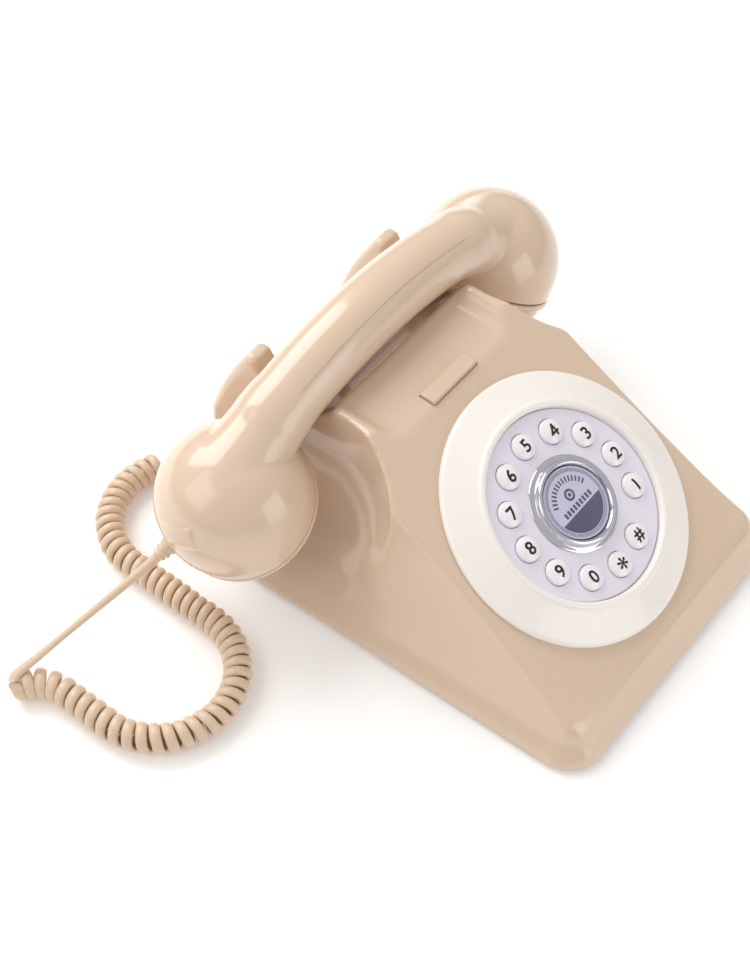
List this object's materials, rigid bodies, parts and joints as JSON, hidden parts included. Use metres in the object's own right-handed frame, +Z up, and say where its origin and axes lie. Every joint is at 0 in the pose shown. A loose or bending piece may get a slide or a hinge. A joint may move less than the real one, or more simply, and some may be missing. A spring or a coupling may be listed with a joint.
{
  "type": "corded landline phone",
  "caption": "Retro desk telephone: sloping wedge body, cream ring with a round push-button keypad, lift-off handset on a cradle and coiled cord.",
  "frame": {"origin": "on the base plate's underside, in the middle of its width, 104 mm behind the body's front edge", "axes": "+X to the phone's right, +Y to its back, +Z up"},
  "size_m": [0.3178, 0.2553, 0.1167],
  "materials": {
    "shell": "gloss",
    "ring": "gloss",
    "keypad_silver": "satin",
    "key": "gloss",
    "chrome": "polished",
    "card": "matte",
    "lens": "clear",
    "steel": "plated",
    "plated_steel": "plated",
    "membrane": "matte",
    "circuit_board": "satin",
    "ribbon": "satin",
    "black_plastic": "satin",
    "base": "matte",
    "rubber": "matte",
    "ballast": "matte",
    "brass": "polished",
    "copper": "gloss",
    "pale_plastic": "satin",
    "cord": "satin"
  },
  "bodies": {
    "body": {"base_plate": "base", "body_cover": "shell", "rubber_feet": "rubber", "cover_screws": "steel", "ballast_plate": "ballast", "dial_ring": "ring", "keypad_plate": "keypad_silver", "centre_bezel": "chrome", "centre_card": "card", "centre_lens": "lens", "bezel_clip": "steel", "keypad_membrane": "membrane", "keypad_board": "circuit_board", "keypad_screws": "steel", "keypad_ribbon": "ribbon", "main_board": "circuit_board", "board_components": "black_plastic", "board_screws": "steel", "line_socket": "black_plastic", "handset_socket": "black_plastic", "cord_plug": "pale_plastic", "bell_frame": "plated_steel", "gongs": "brass", "gong_screws": "steel", "bell_coils": "copper", "clapper_pin": "steel", "hook_bracket": "plated_steel", "hook_springs": "steel", "hook_lever_pin": "steel", "hook_switch": "black_plastic", "push_bar_switch": "black_plastic", "ringer_switch": "black_plastic", "cradle_pads": "rubber", "coil_cord": "cord"},
    "key_1": {"key_1": "key"},
    "key_2": {"key_2": "key"},
    "key_3": {"key_3": "key"},
    "key_4": {"key_4": "key"},
    "key_5": {"key_5": "key"},
    "key_6": {"key_6": "key"},
    "key_7": {"key_7": "key"},
    "key_8": {"key_8": "key"},
    "key_9": {"key_9": "key"},
    "key_0": {"key_0": "key"},
    "key_star": {"key_star": "key"},
    "key_hash": {"key_hash": "key"},
    "push_bar": {"push_bar": "shell"},
    "handset": {"handset_upper_shell": "shell", "handset_lower_shell": "shell", "earpiece_cap": "shell", "mouthpiece_cap": "shell", "receiver_capsule": "black_plastic", "microphone_capsule": "black_plastic", "handset_ballast": "ballast", "handset_screws": "steel", "cord_grommet": "shell"},
    "hook_plunger": {"hook_plunger": "pale_plastic"},
    "hook_lever": {"hook_lever": "pale_plastic"},
    "clapper": {"clapper": "steel"},
    "ringer_slider": {"ringer_slider": "pale_plastic"}
  },
  "joints": [
    {"name": "key_1_press", "type": "slide", "parent": "body", "child": "key_1", "axis": [0, 0.5, -0.866], "range_m": [0, 0.0015], "stiffness_N_per_m": 400},
    {"name": "key_2_press", "type": "slide", "parent": "body", "child": "key_2", "axis": [0, 0.5, -0.866], "range_m": [0, 0.0015], "stiffness_N_per_m": 400},
    {"name": "key_3_press", "type": "slide", "parent": "body", "child": "key_3", "axis": [0, 0.5, -0.866], "range_m": [0, 0.0015], "stiffness_N_per_m": 400},
    {"name": "key_4_press", "type": "slide", "parent": "body", "child": "key_4", "axis": [0, 0.5, -0.866], "range_m": [0, 0.0015], "stiffness_N_per_m": 400},
    {"name": "key_5_press", "type": "slide", "parent": "body", "child": "key_5", "axis": [0, 0.5, -0.866], "range_m": [0, 0.0015], "stiffness_N_per_m": 400},
    {"name": "key_6_press", "type": "slide", "parent": "body", "child": "key_6", "axis": [0, 0.5, -0.866], "range_m": [0, 0.0015], "stiffness_N_per_m": 400},
    {"name": "key_7_press", "type": "slide", "parent": "body", "child": "key_7", "axis": [0, 0.5, -0.866], "range_m": [0, 0.0015], "stiffness_N_per_m": 400},
    {"name": "key_8_press", "type": "slide", "parent": "body", "child": "key_8", "axis": [0, 0.5, -0.866], "range_m": [0, 0.0015], "stiffness_N_per_m": 400},
    {"name": "key_9_press", "type": "slide", "parent": "body", "child": "key_9", "axis": [0, 0.5, -0.866], "range_m": [0, 0.0015], "stiffness_N_per_m": 400},
    {"name": "key_0_press", "type": "slide", "parent": "body", "child": "key_0", "axis": [0, 0.5, -0.866], "range_m": [0, 0.0015], "stiffness_N_per_m": 400},
    {"name": "key_star_press", "type": "slide", "parent": "body", "child": "key_star", "axis": [0, 0.5, -0.866], "range_m": [0, 0.0015], "stiffness_N_per_m": 400},
    {"name": "key_hash_press", "type": "slide", "parent": "body", "child": "key_hash", "axis": [0, 0.5, -0.866], "range_m": [0, 0.0015], "stiffness_N_per_m": 400},
    {"name": "push_bar_press", "type": "slide", "parent": "body", "child": "push_bar", "axis": [0, 0, -1], "range_m": [0, 0.0015], "stiffness_N_per_m": 400},
    {"name": "handset_lift", "type": "slide", "parent": "body", "child": "handset", "axis": [0, 0, 1], "range_m": [0, 0.12], "deforming": ["coil_cord"]},
    {"name": "hook_plunger_rise", "type": "slide", "parent": "body", "child": "hook_plunger", "axis": [0, 0, 1], "range_m": [0, 0.005], "deforming": ["hook_springs"]},
    {"name": "hook_lever_rock", "type": "hinge", "parent": "body", "child": "hook_lever", "pos_m": [0, 0.051, 0.054], "axis": [1, 0, 0], "range_deg": [0, 16]},
    {"name": "clapper_rock", "type": "hinge", "parent": "body", "child": "clapper", "pos_m": [0, 0.066, 0.018], "axis": [0, 1, 0], "range_deg": [-5, 5]},
    {"name": "ringer_slide", "type": "slide", "parent": "body", "child": "ringer_slider", "axis": [1, 0, 0], "range_m": [-0.003, 0.003]}
  ],
  "couplings": [
    {"joint": "hook_plunger_rise", "follows": "handset_lift", "ratio": 0.0416},
    {"joint": "hook_lever_rock", "follows": "handset_lift", "rad_per_m": 2.327}
  ]
}
